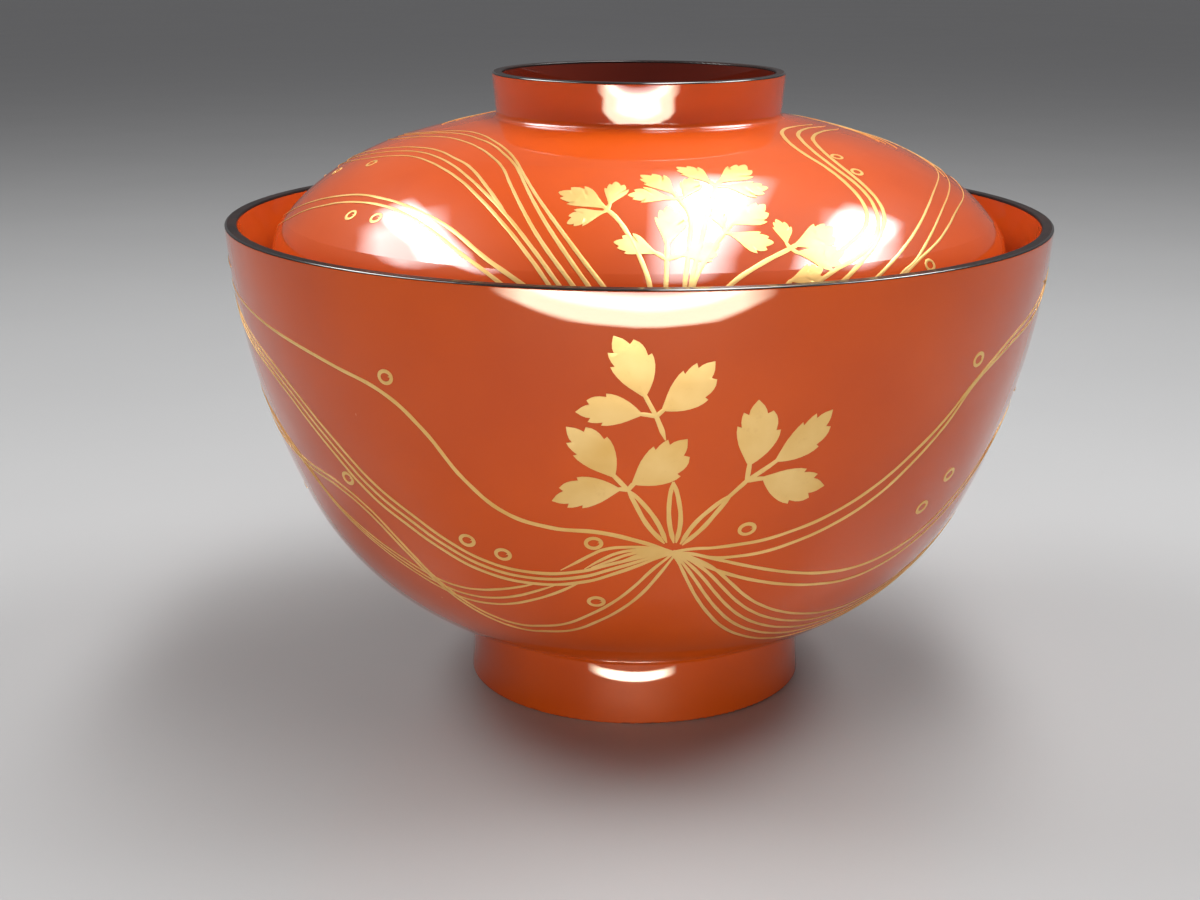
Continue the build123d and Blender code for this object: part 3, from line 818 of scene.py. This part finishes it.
lamps = {  # place, aim and size in metres, brightness of the middle, share that fades at the edges
    "left_panel": {
        "place": (-0.42, 0.1, 0.5), "aim": (0, 0, 0.07), "size": (0.42, 0.23), "face": 15, "fade": 0.25},
    "right_panel": {
        "place": (0.42, 0.1, 0.54), "aim": (0, 0, 0.07), "size": (0.42, 0.21), "face": 15, "fade": 0.25},
    "top_strip": {
        "place": (0.09, 0.01, 0.52), "aim": (0.06, 0.01, 0.07), "size": (0.8, 0.16), "face": 16,
        "fade": 0.35},
    "lip_strip": {
        "place": (0, -0.2, 0.0155), "aim": (0, 0, 0.0155), "size": (0.22, 0.011), "face": 15, "fade": 0.15},
    "knob_strip": {
        "place": (0, -0.2, 0.0365), "aim": (0, 0, 0.0365), "size": (0.2, 0.006), "face": 15, "fade": 0.15},
    "foot_strip": {
        "place": (0, -0.2, 0.053), "aim": (0, 0, 0.053), "size": (0.2, 0.005), "face": 15, "fade": 0.15},
}
dayTint = (1, 1, 1)
warmTint = (1, 0.88, 0.66)
shines = {  # nearer lamps that show only as highlights on the lacquer
    "left_shine": {
        "place": (-0.35, 0.06, 0.51), "aim": (0, 0, 0.07), "size": (0.6, 0.1), "roll": 14, "face": 26,
        "fade": 0.2, "tint": dayTint},
    "right_shine": {
        "place": (0.37, 0.08, 0.53), "aim": (0, 0, 0.07), "size": (0.5, 0.15), "roll": -14, "face": 26,
        "fade": 0.2, "tint": dayTint},
    "top_shine": dict(lamps["top_strip"], place=(0.09, 0.01, 0.51), face=19, tint=dayTint),
    "lip_shine": {
        "place": (-0.004, -0.197, 0.0112), "aim": (-0.004, 0, 0.0112), "size": (0.26, 0.015), "face": 36,
        "fade": 0.15, "tint": warmTint},
    "knob_shine": {
        "place": (0, -0.197, 0.0348), "aim": (0, 0, 0.0348), "size": (0.24, 0.0086), "face": 36,
        "fade": 0.15, "tint": warmTint},
    "foot_shine": {
        "place": (-0.001, -0.04, 0.0024), "aim": (-0.001, 0, 0.0024), "size": (0.032, 0.0018), "face": 40,
        "fade": 0.3, "spread": 90, "tint": warmTint},
}
roomLight = (0.16, 0.16, 0.165, 1)


def addLamp(name, look):
    light = bpy.data.lights.new(name, "AREA")
    light.shape = "RECTANGLE"
    light.size, light.size_y = look["size"]
    light.energy = look["face"] * math.pi * light.size * light.size_y
    light.spread = math.radians(look.get("spread", 180))
    light.use_nodes = True
    tree = light.node_tree
    where = addNode(tree, "ShaderNodeNewGeometry").outputs["Parametric"]
    across = addNode(tree, "ShaderNodeSeparateXYZ", {"Vector": where})
    half = 0.5  # of the lamp's own 0 to 1 across
    shares = []
    for side in ("X", "Y"):
        offCentre = math2(tree, "ABSOLUTE", math2(tree, "SUBTRACT", across.outputs[side], half), 0)
        shares.append(spread(tree, offCentre, half - look["fade"], half, 1, 0))
    tree.links.new(math2(tree, "MULTIPLY", *shares), tree.nodes["Emission"].inputs["Strength"])
    lamp = bpy.data.objects.new(name, light)
    lamp.location = look["place"]
    aim = Vector(look["aim"]) - Vector(look["place"])
    lamp.rotation_euler = aim.to_track_quat("-Z", "Y").to_euler()
    lamp.rotation_euler.rotate_axis("Z", math.radians(look.get("roll", 0)))
    lamp.visible_camera = False
    bpy.context.scene.collection.objects.link(lamp)
    return lamp


def lightOnly(lamp, pieces):
    lit = bpy.data.collections.new(lamp.name + "_lights")
    for piece in pieces:
        lit.objects.link(piece)
    lamp.light_linking.receiver_collection = lit


makeFloor(floorLook)
for lampName, lampLook in lamps.items():
    lamp = addLamp(lampName, lampLook)
    if lampLook["place"][1] < 0:  # a low strip in front stays off the floor
        lightOnly(lamp, [*nodes.values(), *goldPieces])
for lampName, lampLook in shines.items():
    lamp = addLamp(lampName, lampLook)
    lamp.data.color = lampLook["tint"]
    lamp.visible_diffuse = False
    lightOnly(lamp, nodes.values())
room = bpy.data.worlds.new("room")
room.use_nodes = True
room.node_tree.nodes["Background"].inputs["Color"].default_value = roomLight
bpy.context.scene.world = room
bpy.context.scene.view_settings.view_transform = "Standard"

viewpoint = {
    "place": (0, -0.2796, 0.1126),
    "tilt": (74.316, -0.12, 1.16),  # degrees
    "lens": 57,
    "sensor": 36,
    "near": 0.01,
}
camera = bpy.data.objects.new("camera", bpy.data.cameras.new("camera"))
camera.data.lens = viewpoint["lens"]
camera.data.sensor_width = viewpoint["sensor"]
camera.data.clip_start = viewpoint["near"]
camera.location = viewpoint["place"]
camera.rotation_euler = [math.radians(angle) for angle in viewpoint["tilt"]]
bpy.context.scene.collection.objects.link(camera)
bpy.context.scene.camera = camera
print("stage set")
